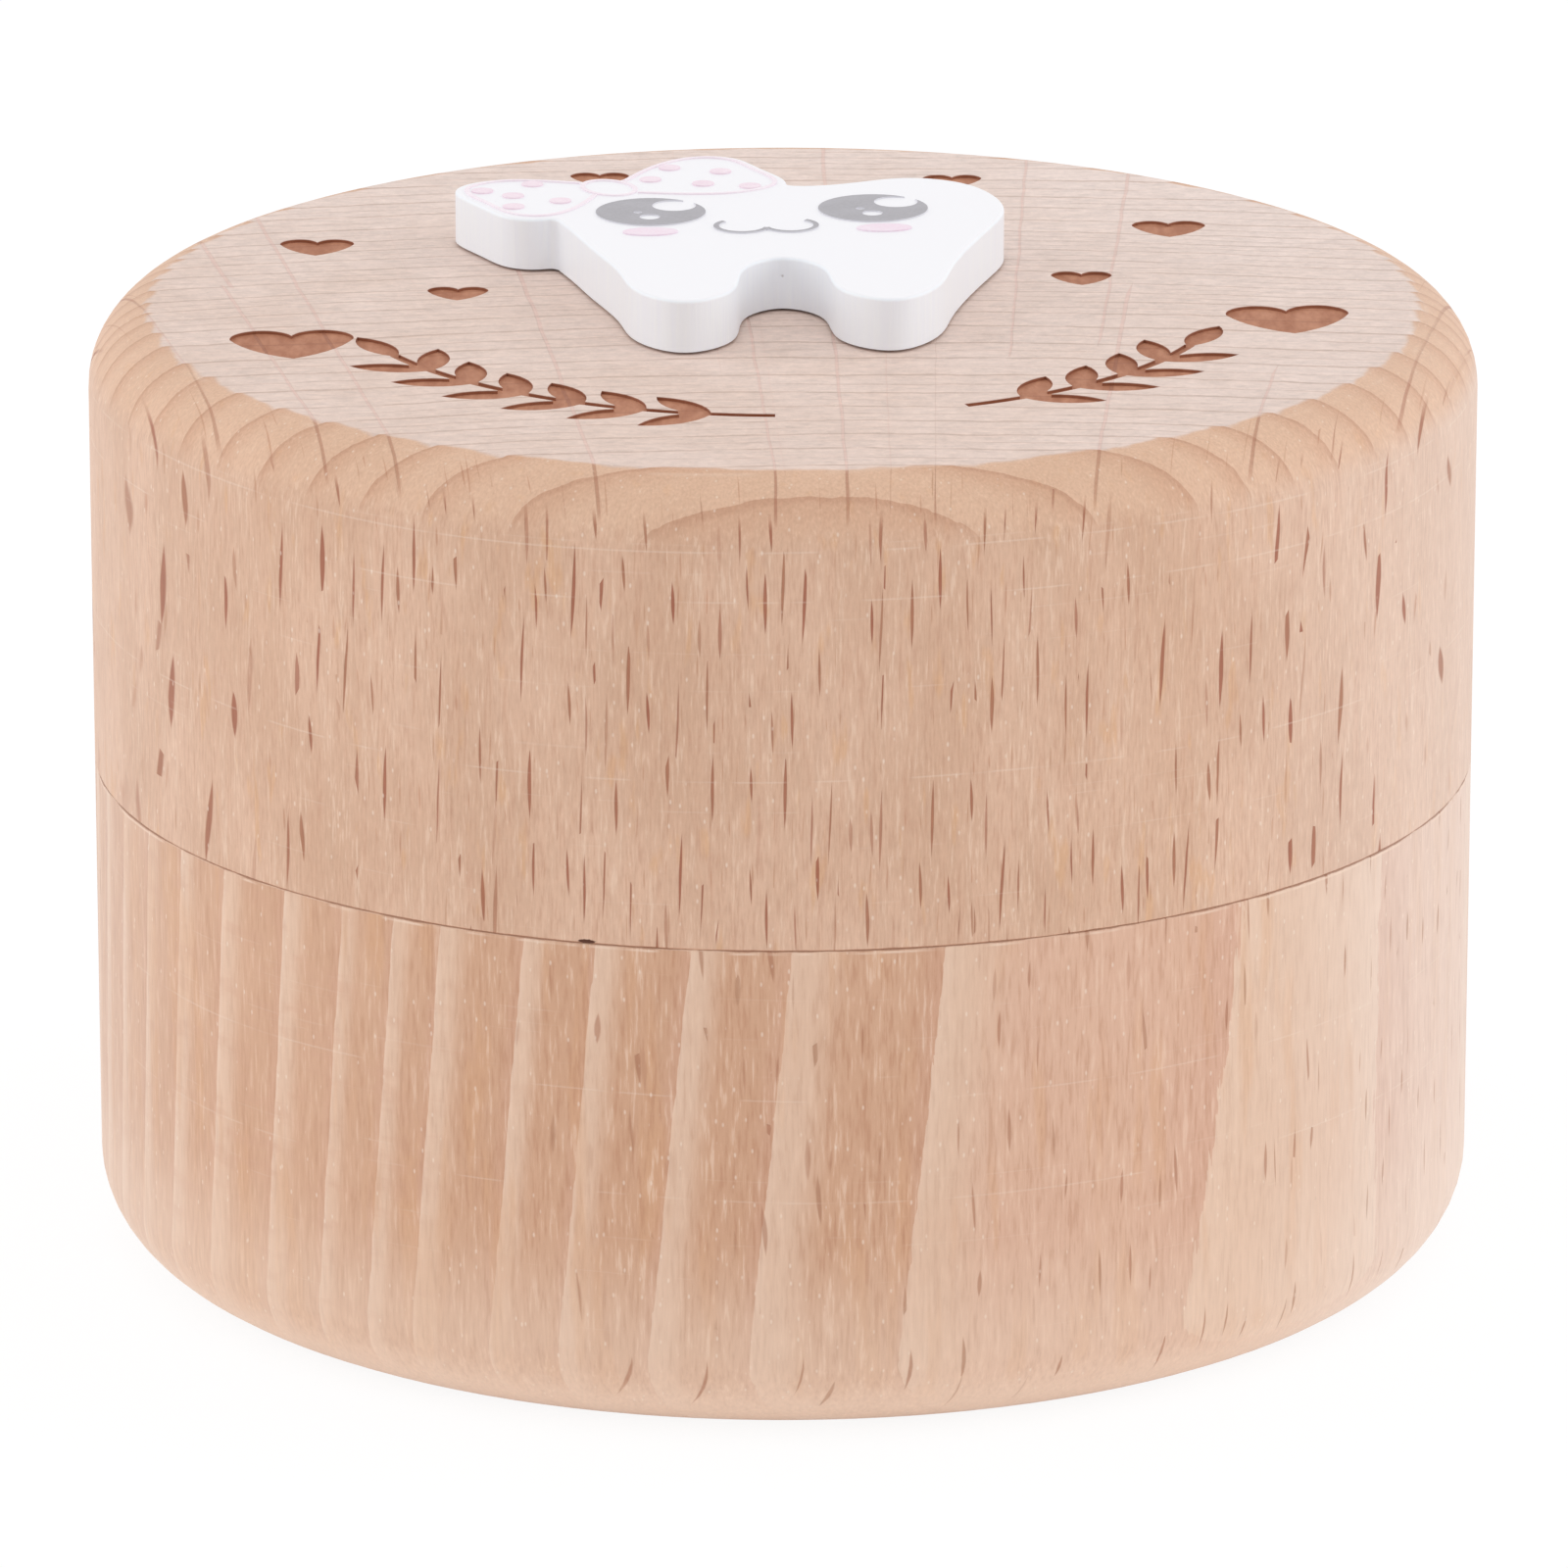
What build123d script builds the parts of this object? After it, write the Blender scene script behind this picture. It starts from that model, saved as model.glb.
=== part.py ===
from build123d import *
import math
import os

# Round turned keepsake box for milk teeth: a beech cup, a beech lid that slips over the
# cup's rim, and a tooth-shaped white cut-out glued on the lid. Millimetres, +Z up, the
# origin at the centre of the foot, the front of the lid's picture towards -Y.

# Driving sizes of the turned box
body_diameter = 50.0
base_height = 18.0  # foot to the shoulder that the lid sits on
lid_height = 16.55  # shoulder to the sanded top

# The cup
base_round = 3.3  # radius turned round the foot
base_skim = 0.1  # what sanding the foot flat took off that radius
cup_wall = 5.5
floor_thickness = 4.5
cavity_corner = 2.0  # radius at the bottom of the bore
rim_height = 5.0  # the rim that stands above the shoulder
rim_wall = 2.0
rim_lead = 0.5  # chamfer that guides the lid on
rim_break = 0.3  # broken edge inside the rim's mouth
seam_break = 0.05  # broken edges that show as the hairline between cup and lid

# The lid
lid_round = 2.9
lid_skim = 0.12
lid_thickness = 5.0  # over the hollow
lid_wall = 5.5  # beside the hollow, above the rim
lid_corner = 2.0
rim_clearance = 0.1  # all round, between the cup's rim and the lid
rim_headroom = 0.4  # above the rim, so that the lid closes on the shoulder

# The engraving in the lid's top
engraving_depth = 0.12
large_heart_width = 4.4
large_heart_turn = 3.5  # degrees anticlockwise
middle_heart_width = 2.7
small_heart_width = 2.2
stem_width = 0.42
leaf_length = 2.9
leaf_width = 1.15
leaf_pitch = 2.35  # along the stem, from one pair of leaves to the next
leaf_angle = 42.0  # degrees between a leaf and its stem
sprig_radius = 15.7  # from the lid's axis to the stems
left_sprig_start = -91.0  # degrees round the lid, 0 towards +X
left_sprig_pairs = 7
right_sprig_start = -66.0
right_sprig_pairs = 5

# The tooth cut-out, glued on
sheet_thickness = 1.9
tooth_width = 16.75
tooth_height = 17.4
tooth_turn = 4.0  # degrees anticlockwise on the lid
cut_corner = 0.35  # what the cutter leaves in the inside corners
sheet_break = 0.12  # rounded upper edge of the cut-out
glue_thickness = 0.1
glue_pad_length = 11.0
glue_pad_width = 6.5
glue_pad_corner = 1.5

# The bow is cut in one piece with the tooth
left_lobe_length = 5.33  # from the middle of the knot
right_lobe_length = 6.4
bow_lobe_width = 6.2
bow_knot_length = 2.15
bow_knot_width = 2.75
bow_turn = 25.5  # degrees, beside the tooth

# The ink printed on the cut-out
ink_thickness = 0.05
eye_diameter = 4.0
eye_spacing = 8.1
large_glint_diameter = 1.6
middle_glint_diameter = 0.75
small_glint_diameter = 0.3
cheek_length = 2.0
cheek_width = 1.1
mouth_radius = 0.93  # of the two arcs that meet in a smile
mouth_cusp = 18.0  # degrees from each arc's middle down to where they meet
mouth_curl = 50.0  # degrees that each arc rises past its middle at the far end
mouth_line = 0.2
bow_line = 0.16
bow_line_inset = 0.36  # from the cut edge
bow_line_gap = 0.1  # between the lobes' lines and the knot's
bow_dot_diameter = 0.8

overrun = 1.0  # how far a cutting tool runs past what it cuts
same_place = 0.001  # points nearer than this are one point

# Outlines and places, chosen by hand as shares of the sizes that they follow.
# Half a heart: across in shares of its width, up in shares of its width.
heart_notch_share = 0.26
heart_lobe_shares = (0.27, 0.43)
heart_side_shares = (0.5, 0.14)
heart_flank_shares = (0.31, -0.21)
heart_tip_share = -0.465
# Places on the lid's flat top, in shares of its radius.
large_heart_shares = [(-0.76, -0.262), (0.79, -0.11)]
middle_heart_shares = [(-0.745, 0.34), (0.62, 0.46)]
small_heart_shares = [(-0.512, 0.048), (0.472, 0.144), (-0.3, 0.79), (0.276, 0.775)]
tooth_place_shares = (0.0, 0.066)
# Round the tooth, clockwise from the dip in its crown: across in shares of half its
# width, up in shares of its height.
tooth_shares = [
    (0.14, 0.434),
    (0.36, 0.452),
    (0.62, 0.487),
    (0.83, 0.445),
    (0.965, 0.335),
    (0.992, 0.2),
    (0.9, 0.05),
    (0.77, -0.125),
    (0.675, -0.285),
    (0.575, -0.44),
    (0.385, -0.521),
    (0.215, -0.462),
    (0.152, -0.32),
    (0.095, -0.212),
    (-0.03, -0.17),
    (-0.155, -0.208),
    (-0.235, -0.33),
    (-0.31, -0.452),
    (-0.49, -0.509),
    (-0.665, -0.43),
    (-0.735, -0.265),
    (-0.825, -0.075),
    (-0.915, 0.115),
    (-0.978, 0.26),
    (-0.91, 0.4),
    (-0.62, 0.484),
    (-0.2, 0.45),
]
bow_place_shares = (-0.7, 0.435)  # of half the tooth's width, and of its height
# Round a lobe from the knot's middle and back: out in shares of its length, across in
# shares of its width.
lobe_shares = [
    (0.0, 0.03),
    (0.27, 0.235),
    (0.6, 0.424),
    (0.76, 0.45),
    (0.9, 0.4),
    (0.985, 0.28),
    (1.0, 0.12),
    (0.995, -0.1),
    (0.985, -0.3),
    (0.91, -0.45),
    (0.75, -0.52),
    (0.58, -0.522),
    (0.3, -0.4),
    (0.0, -0.17),
]
# Dots on the lobes, out in shares of a lobe's length, across in shares of half its width.
right_dot_shares = [
    (0.53, 0.5),
    (0.745, 0.05),
    (0.3, 0.11),
    (0.517, -0.37),
    (0.725, -0.74),
]
left_dot_shares = [
    (0.41, -0.6),
    (0.8, -0.6),
    (0.68, -0.22),
    (0.465, 0.268),
    (0.82, 0.24),
]
# The face, in shares of half the tooth's width and of its height.
eye_place_shares = (-0.06, 0.22)
mouth_place_shares = (-0.06, 0.088)
cheek_drop_share = 0.165
cheek_spacing_share = 1.045  # of the distance between the eyes
# Places of the glints in an eye, in shares of its diameter.
large_glint_shares = (0.225, 0.208)
middle_glint_shares = (-0.02, -0.195)
small_glint_shares = (-0.12, -0.02)
glue_place_share = 0.1  # of the tooth's height, above its middle

body_radius = body_diameter / 2
cavity_radius = body_radius - cup_wall
rim_radius = cavity_radius + rim_wall
rim_top = base_height + rim_height
top = base_height + lid_height
lid_face_rise = lid_round - lid_skim
lid_face_radius = body_radius - lid_round + math.sqrt(lid_round**2 - lid_face_rise**2)
sheet_foot = top + glue_thickness
sheet_top = sheet_foot + sheet_thickness


def turned(*lines):
    """A solid of revolution about Z, from the closed outline of half its section."""
    outline = Plane.XZ * make_face(Curve() + list(lines))
    return revolve(outline, axis=Axis.Z)


def edge_round(radius, rise, centre_height, first):
    """The arc of a turned edge, tangent to the box's side and cut off at its flat."""
    sweep = math.degrees(math.asin(rise / radius))
    start = -sweep if first else 0
    return CenterArc((body_radius - radius, centre_height), radius, start, sweep)


def base_cup():
    rise = base_round - base_skim
    edge = edge_round(base_round, rise, rise, first=True)
    corner = CenterArc(
        (cavity_radius - cavity_corner, floor_thickness + cavity_corner),
        cavity_corner,
        -90,
        90,
    )
    rise_of_wall = Polyline(
        edge @ 1,
        (body_radius, base_height - seam_break),
        (body_radius - seam_break, base_height),
        (rim_radius, base_height),
        (rim_radius, rim_top - rim_lead),
        (rim_radius - rim_lead, rim_top),
        (cavity_radius + rim_break, rim_top),
        (cavity_radius, rim_top - rim_break),
        corner @ 1,
    )
    floor = Polyline(corner @ 0, (0, floor_thickness), (0, 0), edge @ 0)
    return turned(edge, rise_of_wall, corner, floor)


def lid_blank():
    socket_radius = rim_radius + rim_clearance
    socket_top = rim_top + rim_headroom
    hollow_radius = body_radius - lid_wall
    ceiling = top - lid_thickness
    edge = edge_round(lid_round, lid_face_rise, top - lid_face_rise, first=False)
    corner = CenterArc(
        (hollow_radius - lid_corner, ceiling - lid_corner), lid_corner, 0, 90
    )
    side = Polyline(
        edge @ 0,
        (body_radius, base_height + seam_break),
        (body_radius - seam_break, base_height),
        (socket_radius + rim_break, base_height),
        (socket_radius, base_height + rim_break),
        (socket_radius, socket_top),
        (hollow_radius, socket_top),
        corner @ 0,
    )
    roof = Polyline(corner @ 1, (0, ceiling), (0, top), edge @ 1)
    return turned(edge, side, corner, roof)


def mirrored_outline(half, axis_plane):
    """A closed face from one half of its outline and that half's mirror image."""
    return make_face(Curve() + [half, half.mirror(axis_plane)])


def heart(width):
    notch = (0, heart_notch_share * width)
    lobe, side, flank = (
        (across * width, up * width)
        for across, up in (heart_lobe_shares, heart_side_shares, heart_flank_shares)
    )
    tip = (0, heart_tip_share * width)
    half = Curve() + [ThreePointArc(notch, lobe, side), ThreePointArc(side, flank, tip)]
    return mirrored_outline(half, Plane.YZ)


def hearts():
    sizes = (
        (large_heart_width, large_heart_turn, large_heart_shares),
        (middle_heart_width, 0, middle_heart_shares),
        (small_heart_width, 0, small_heart_shares),
    )
    return [
        Pos(across * lid_face_radius, up * lid_face_radius) * Rot(0, 0, turn) * heart(width)
        for width, turn, places in sizes
        for across, up in places
    ]


def leaf():
    """A leaf along +X, rooted inside the stem that passes its origin."""
    root = -stem_width / 2
    middle = (root + leaf_length) / 2
    upper = ThreePointArc((root, 0), (middle, leaf_width / 2), (leaf_length, 0))
    return mirrored_outline(upper, Plane.XZ)


def sprig(start_angle, pairs, direction):
    """A stem round the lid's axis with pairs of leaves, which grows anticlockwise for
    direction 1 and clockwise for -1."""
    step = direction * math.degrees(leaf_pitch / sprig_radius)
    stem = CenterArc((0, 0), sprig_radius, start_angle, step * pairs)
    pieces = [trace(stem, stem_width)]
    for count in range(1, pairs + 1):
        place = Rot(0, 0, start_angle + step * count) * Pos(sprig_radius, 0)
        ahead = direction * 90
        turns = (0,) if count == pairs else (leaf_angle, -leaf_angle)
        pieces += [place * Rot(0, 0, ahead + turn) * leaf() for turn in turns]
    return pieces


def lid():
    cuts = [
        *hearts(),
        *sprig(left_sprig_start, left_sprig_pairs, direction=-1),
        *sprig(right_sprig_start, right_sprig_pairs, direction=1),
    ]
    cutter_foot = Pos(0, 0, top - engraving_depth)
    engraving = extrude(Sketch() + cuts, amount=engraving_depth + overrun)
    return lid_blank() - cutter_foot * engraving


def on_tooth(across_share, up_share):
    """A place on the cut-out from its shares of half the tooth's width and its height."""
    return Pos(across_share * tooth_width / 2, up_share * tooth_height)


def on_lid(height):
    """The cut-out's own frame, at this height over the lid."""
    across, up = tooth_place_shares
    place = Pos(across * lid_face_radius, up * lid_face_radius, height)
    return place * Rot(0, 0, tooth_turn)


def tooth_outline():
    points = [(across * tooth_width / 2, up * tooth_height) for across, up in tooth_shares]
    return make_face(Spline(*points, periodic=True))


def lobe_rim(length, inset=0):
    """The curve round a lobe of the bow, or a smaller one that lies inside it."""
    reach = length - 2 * inset
    width = bow_lobe_width - 2 * inset
    return Spline(*((inset + out * reach, across * width) for out, across in lobe_shares))


def lobe_outline(length):
    """A lobe of the bow, a fan that grows out of the knot."""
    rim = lobe_rim(length)
    return make_face(Curve() + [rim, Line(rim @ 1, rim @ 0)])


def knot_outline(inset=0):
    return Ellipse(bow_knot_length / 2 - inset, bow_knot_width / 2 - inset)


def bow_frame():
    return on_tooth(*bow_place_shares) * Rot(0, 0, bow_turn)


def bow_sides():
    """Each lobe's length, its frame from the middle of the knot outwards and its dots."""
    return [
        (right_lobe_length, bow_frame(), right_dot_shares),
        (left_lobe_length, bow_frame() * Rot(0, 0, 180), left_dot_shares),
    ]


def bow_lobes():
    return [side * lobe_outline(length) for length, side, _ in bow_sides()]


def crossings(outline, pieces):
    """The vertices of an outline that none of the pieces it was joined from has."""
    own = [vertex.center() for piece in pieces for vertex in piece.vertices()]
    return [
        vertex
        for vertex in outline.vertices()
        if min((vertex.center() - place).length for place in own) > same_place
    ]


def tooth_cutout():
    pieces = [tooth_outline(), *bow_lobes(), bow_frame() * knot_outline()]
    outline = Sketch() + pieces
    outline = fillet(crossings(outline, pieces), cut_corner)
    sheet = extrude(outline, amount=sheet_thickness)
    upper_edges = sheet.edges().group_by(Axis.Z)[-1]
    return on_lid(sheet_foot) * fillet(upper_edges, sheet_break)


def glue_pad():
    pad = on_tooth(0, glue_place_share) * RectangleRounded(
        glue_pad_length, glue_pad_width, glue_pad_corner
    )
    return on_lid(top) * extrude(pad, amount=glue_thickness)


def printed(outlines):
    """Ink on the face of the cut-out, in one film for each outline."""
    return on_lid(sheet_top) * extrude(outlines, amount=ink_thickness)


def eye():
    disc = Circle(eye_diameter / 2)
    glints = (
        (large_glint_shares, large_glint_diameter),
        (middle_glint_shares, middle_glint_diameter),
        (small_glint_shares, small_glint_diameter),
    )
    for (across, up), size in glints:
        disc -= Pos(across * eye_diameter, up * eye_diameter) * Circle(size / 2)
    return disc


def eye_ink():
    places = [Pos(side * eye_spacing / 2, 0) for side in (-1, 1)]
    middle = on_tooth(*eye_place_shares)
    return printed(Sketch() + [middle * place * eye() for place in places])


def cheek_ink():
    across, up = eye_place_shares
    middle = on_tooth(across, up - cheek_drop_share)
    reach = cheek_spacing_share * eye_spacing / 2
    places = [Pos(side * reach, 0) for side in (-1, 1)]
    cheek = Ellipse(cheek_length / 2, cheek_width / 2)
    return printed(Sketch() + [middle * place * cheek for place in places])


def mouth_ink():
    """A smile of two arcs, side by side, that meet in a cusp."""
    middle = mouth_radius * math.cos(math.radians(mouth_cusp))
    sweep = 180 - mouth_cusp + mouth_curl
    right = CenterArc((middle, 0), mouth_radius, mouth_cusp - 180, sweep)
    smile = trace(right, mouth_line) + trace(right.mirror(Plane.YZ), mouth_line)
    return printed(on_tooth(*mouth_place_shares) * smile)


def bow_line_ink():
    """A line inside each lobe's edge as far as the knot, and one round the knot."""
    ring = knot_outline(bow_line_gap) - knot_outline(bow_line_gap + bow_line)
    lines = [bow_frame() * ring]
    for length, side, _ in bow_sides():
        line = trace(lobe_rim(length, bow_line_inset), bow_line)
        lines.append(side * (line - knot_outline()))
    return printed(Sketch() + lines)


def bow_dot_ink():
    dots = [
        side * Pos(out * length, across * bow_lobe_width / 2) * Circle(bow_dot_diameter / 2)
        for length, side, places in bow_sides()
        for out, across in places
    ]
    return printed(Sketch() + dots)


parts = {
    "base_cup": base_cup,
    "lid": lid,
    "tooth_cutout": tooth_cutout,
    "glue_pad": glue_pad,
    "eye_ink": eye_ink,
    "cheek_ink": cheek_ink,
    "mouth_ink": mouth_ink,
    "bow_line_ink": bow_line_ink,
    "bow_dot_ink": bow_dot_ink,
}

os.makedirs("parts", exist_ok=True)
for name, build in parts.items():
    solid = build()
    export_step(solid, f"parts/{name}.step")
    print(name, "solids", len(solid.solids()), "volume", round(solid.volume, 2))
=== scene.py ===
# %% [markdown]
# # A turned wooden box for milk teeth
#
# The real thing is two pieces of beech turned on a lathe, a cup and a lid of one width, with a
# white cut-out glued on the lid. Its solids were modelled in CAD and arrive here as a fixed
# frame, already in their right shapes. So this script leaves every solid where it is, and
# gives each one its finish: grain that runs through the whole block of wood, burnt ornament,
# the hairline of the saw cut, white paint and printed ink. All lengths in the materials are in
# millimetres, because a grain of wood is easier to think about in those.

# %% Load the frame
import math

import bpy
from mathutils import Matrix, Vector


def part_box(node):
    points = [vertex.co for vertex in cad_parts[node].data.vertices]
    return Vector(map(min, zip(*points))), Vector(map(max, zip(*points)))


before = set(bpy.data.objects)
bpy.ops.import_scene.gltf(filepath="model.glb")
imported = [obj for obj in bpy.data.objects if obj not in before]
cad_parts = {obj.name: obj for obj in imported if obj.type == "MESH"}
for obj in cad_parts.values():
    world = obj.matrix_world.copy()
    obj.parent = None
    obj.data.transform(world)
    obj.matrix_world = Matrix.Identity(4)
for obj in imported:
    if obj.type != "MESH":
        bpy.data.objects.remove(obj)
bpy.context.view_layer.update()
MM = 0.001
scene = bpy.context.scene
scene.view_settings.view_transform = "Standard"
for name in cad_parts:
    low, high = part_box(name)
    print(name, "measures", [round(side / MM, 2) for side in high - low], "mm")

# %% [markdown]
# ## The camera
#
# The box was photographed with a long lens from slightly above. Its angle, distance and lens
# were worked out from the ellipses of the top edge and the seam, so the camera only has to be
# set to those numbers. The small shift puts the box where it stands in the picture.

# %% Camera
CAMERA_DISTANCE = 0.42553
CAMERA_PITCH = 0.2933
FOCAL_LENGTH = 268.46
SENSOR_WIDTH = 36
PICTURE_SHIFT = (0.000625, -0.02727)
AIM = Vector((0, 0, 0.018))
lens = bpy.data.cameras.new("camera")
lens.sensor_width = SENSOR_WIDTH
lens.lens = FOCAL_LENGTH
lens.shift_x, lens.shift_y = PICTURE_SHIFT
camera = bpy.data.objects.new("camera", lens)
scene.collection.objects.link(camera)
back = Vector((0, -math.cos(CAMERA_PITCH), math.sin(CAMERA_PITCH)))
camera.location = AIM + back * CAMERA_DISTANCE
camera.rotation_euler = (math.pi / 2 - CAMERA_PITCH, 0, 0)
scene.camera = camera
print("camera at", [round(value, 4) for value in camera.location])

# %% [markdown]
# ## Writing nodes as sums
#
# Wood needs many small sums: how far a point is from the heart of the tree, which ring that
# is, how dark that ring is there. Node by node that is long to write and hard to read. The
# class `Signal` wraps a socket, so that `a * 2 + b` adds the Math nodes by itself. `Nodes`
# fills a node tree, and makes a node from its kind, its settings and what is plugged in.
# `Finish` does the same for the tree of one material.


# %% Helpers for materials
def colour(red, green, blue):
    """A colour as a paint chart gives it, 0 to 255, made linear for the shader."""
    share = [value / 255 for value in (red, green, blue)]
    linear = [s / 12.92 if s <= 0.04045 else ((s + 0.055) / 1.055) ** 2.4 for s in share]
    return (*linear, 1)


class Signal:
    """An output socket that can be added, multiplied and compared."""

    def __init__(self, finish, socket):
        self.finish, self.socket = finish, socket

    def sum(self, operation, *others):
        node = self.finish.node("Math", operation=operation)
        for place, value in enumerate((self, *others)):
            self.finish.plug(node.inputs[place], value)
        return Signal(self.finish, node.outputs[0])

    def __add__(self, other):
        return self.sum("ADD", other)

    def __sub__(self, other):
        return self.sum("SUBTRACT", other)

    def __mul__(self, other):
        return self.sum("MULTIPLY", other)

    def __truediv__(self, other):
        return self.sum("DIVIDE", other)

    __radd__, __rmul__ = __add__, __mul__

    def __rsub__(self, other):
        return self * -1 + other

    def size(self):
        return self.sum("ABSOLUTE")

    def rise(self, start, end):
        """0 before start, 1 after end and a soft step between. It falls where end is lower."""
        if end < start:
            return 1 - self.rise(end, start)
        node = self.finish.node("MapRange", interpolation_type="SMOOTHSTEP")
        for place, value in enumerate((self, start, end, 0.0, 1.0)):
            self.finish.plug(node.inputs[place], value)
        return Signal(self.finish, node.outputs[0])

    def near(self, place, reach):
        """1 at a value, and 0 further than reach from it."""
        return (self - place).size().rise(reach, 0.0)


class Nodes:
    """A node tree that is emptied first and filled by these functions."""

    def __init__(self, tree):
        self.tree = tree
        self.tree.nodes.clear()

    def plug(self, socket, value):
        if isinstance(value, Signal):
            self.tree.links.new(value.socket, socket)
        else:
            socket.default_value = value

    def node(self, kind, plugs=None, **settings):
        made = self.tree.nodes.new("ShaderNode" + kind)
        for key, value in settings.items():
            setattr(made, key, value)
        for key, value in (plugs or {}).items():
            self.plug(made.inputs[key], value)
        return made

    def signal(self, kind, output=0, plugs=None, **settings):
        return Signal(self, self.node(kind, plugs, **settings).outputs[output])

    def split(self, vector):
        """The three numbers of a place or a direction."""
        return [Signal(self, out) for out in self.node("SeparateXYZ", {0: vector}).outputs]

    def point(self, x, y, z):
        return self.signal("CombineXYZ", plugs={0: x, 1: y, 2: z})

    def noise(self, point, detail=2.0):
        plugs = {"Vector": point, "Scale": 1.0, "Detail": detail, "Roughness": 0.55}
        return self.signal("TexNoise", "Fac", plugs)

    def mix(self, share, first, second, blend="MIX"):
        node = self.node("Mix", data_type="RGBA", blend_type=blend)
        for place, value in ((0, share), (6, first), (7, second)):
            self.plug(node.inputs[place], value)
        return Signal(self, node.outputs[2])


class Finish(Nodes):
    """One material and the nodes in it."""

    def __init__(self, name):
        self.material = bpy.data.materials.new(name)
        self.material.use_nodes = True
        super().__init__(self.material.node_tree)
        self.shader = self.node("BsdfPrincipled")
        self.end = self.node("OutputMaterial", {0: Signal(self, self.shader.outputs[0])})

    def surface(self, base, roughness, height=None, depth=1.0, **settings):
        """Plugs colour, roughness and relief into the shader. Depth is in millimetres."""
        self.plug(self.shader.inputs["Base Color"], base)
        self.plug(self.shader.inputs["Roughness"], roughness)
        for key, value in settings.items():
            self.plug(self.shader.inputs[key.replace("_", " ")], value)
        if height is not None:
            plugs = {"Height": height, "Strength": 1.0, "Distance": depth * MM}
            bump = self.signal("Bump", "Normal", plugs)
            self.plug(self.shader.inputs["Normal"], bump)

    def wear(self, *pieces):
        """Puts the finish on the CAD solids that it belongs to."""
        for piece in pieces:
            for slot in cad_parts[piece].material_slots:
                slot.material = self.material
        print(self.material.name, "has", len(self.tree.nodes), "nodes and is on", pieces)


# %% [markdown]
# ## Floor and light
#
# The photograph was taken in a white tent: light comes from everywhere, also up from the lit
# table, and a little more from both sides, so that the flanks of the box are paler than its
# front. A plain white world and a table that glows a little do most of that, and three large
# soft lamps do the rest. The background is white without more light on the box, because the
# floor and the world are white only for rays that reach the camera or a reflection, and the
# floor still takes a trace of shadow. It lies a hair below the foot, so that the two don't
# share a plane, and it is clear from below, so that the underside can be looked at too.

# %% Floor, world and lamps
WHITE = (1, 1, 1, 1)
PAPER = colour(244, 244, 246)
PAPER_ROUGHNESS = 0.9
AMBIENT = 0.76
TABLE_GLOW = 0.22
SHADOW_SHARE = 0.14
FLOOR_REACH = 2.0
FLOOR_DROP = 0.02 * MM


def white_rays(finish):
    """1 for the rays that show the background, 0 for those that light the box."""
    path = finish.node("LightPath")
    seen = [Signal(finish, path.outputs[name]) for name in
            ("Is Camera Ray", "Is Glossy Ray", "Is Transmission Ray")]
    return seen[0].sum("MAXIMUM", seen[1]).sum("MAXIMUM", seen[2])


floor_mesh = bpy.data.meshes.new("floor")
corners = [(x * FLOOR_REACH, y * FLOOR_REACH, -FLOOR_DROP)
           for x, y in ((-1, -1), (1, -1), (1, 1), (-1, 1))]
floor_mesh.from_pydata(corners, [], [(0, 1, 2, 3)])
floor = bpy.data.objects.new("floor", floor_mesh)
scene.collection.objects.link(floor)
paper = Finish("white_paper")
paper.surface(PAPER, PAPER_ROUGHNESS, Specular_IOR_Level=0.0, Emission_Color=WHITE,
              Emission_Strength=TABLE_GLOW)
lit_paper = Signal(paper, paper.shader.outputs[0])
glow = paper.signal("Emission", plugs={"Color": WHITE, "Strength": 1.0})
shown_white = white_rays(paper) * (1 - SHADOW_SHARE)
blend = paper.signal("MixShader", plugs={0: shown_white, 1: lit_paper, 2: glow})
from_below = paper.signal("NewGeometry", "Backfacing")
clear = paper.signal("BsdfTransparent")
one_sided = paper.signal("MixShader", plugs={0: from_below, 1: blend, 2: clear})
paper.plug(paper.end.inputs[0], one_sided)
floor_mesh.materials.append(paper.material)

world = bpy.data.worlds.new("white_tent")
scene.world = world
world.use_nodes = True
tent = Nodes(world.node_tree)
lit = tent.signal("Background", plugs={"Color": WHITE, "Strength": AMBIENT})
shown = tent.signal("Background", plugs={"Color": WHITE, "Strength": 1.0})
choice = tent.signal("MixShader", plugs={0: white_rays(tent), 1: lit, 2: shown})
tent.node("OutputWorld", {0: choice})


def lamp(name, place, watts, width):
    """A soft square lamp that faces the box. Place and width are in metres."""
    light = bpy.data.lights.new(name, "AREA")
    light.shape = "SQUARE"
    light.size = width
    light.energy = watts
    holder = bpy.data.objects.new(name, light)
    scene.collection.objects.link(holder)
    holder.location = place
    holder.rotation_euler = (AIM - Vector(place)).to_track_quat("-Z", "Y").to_euler()
    print(name, watts, "W at", place)


lamp("lamp_above", place=(0.0, -0.10, 0.75), watts=0.6, width=0.6)
lamp("lamp_left", place=(-0.62, 0.10, 0.25), watts=1.0, width=0.5)
lamp("lamp_right", place=(0.62, 0.06, 0.25), watts=1.1, width=0.5)

# %% [markdown]
# ## Where a point lies
#
# Every pattern here fills the block that a piece was cut from, and doesn't lie on its skin.
# A block gives each point its place in millimetres, and how much its face looks up. Noise
# reads a stretched copy of that place, so that a streak is longer one way than the other.


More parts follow.
